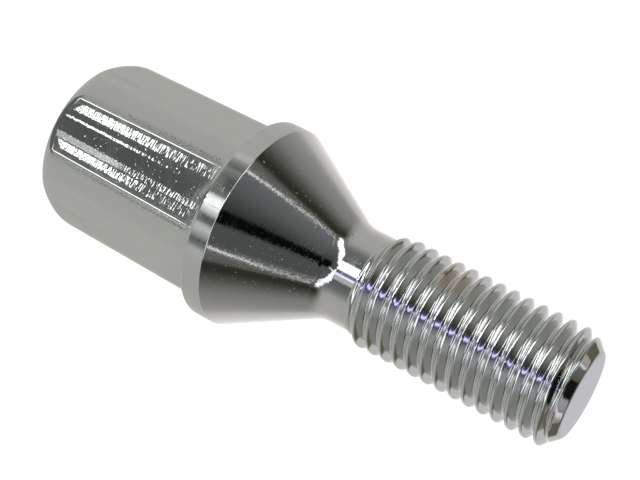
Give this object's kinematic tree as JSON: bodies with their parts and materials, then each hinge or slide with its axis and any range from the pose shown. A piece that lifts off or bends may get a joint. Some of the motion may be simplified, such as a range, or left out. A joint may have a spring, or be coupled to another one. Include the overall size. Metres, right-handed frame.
{
  "type": "lug bolt",
  "caption": "Wheel lug bolt with a tall rounded hexagon head, a round collar, a conical seat, a short plain neck and a fine right-hand thread with a chamfered tip.",
  "frame": {"origin": "centre of the flat end of the head, on the bolt's axis, where it stands", "axes": "+Z along the bolt's axis from the head to the tip of the thread; -Y out of the middle of one wrench flat"},
  "size_m": [0.0216, 0.0216, 0.0583],
  "materials": {
    "bright_plated_steel": "bright chrome plating over forged and rolled steel"
  },
  "bodies": {
    "root": {"lug_bolt": "bright_plated_steel"}
  },
  "joints": []
}
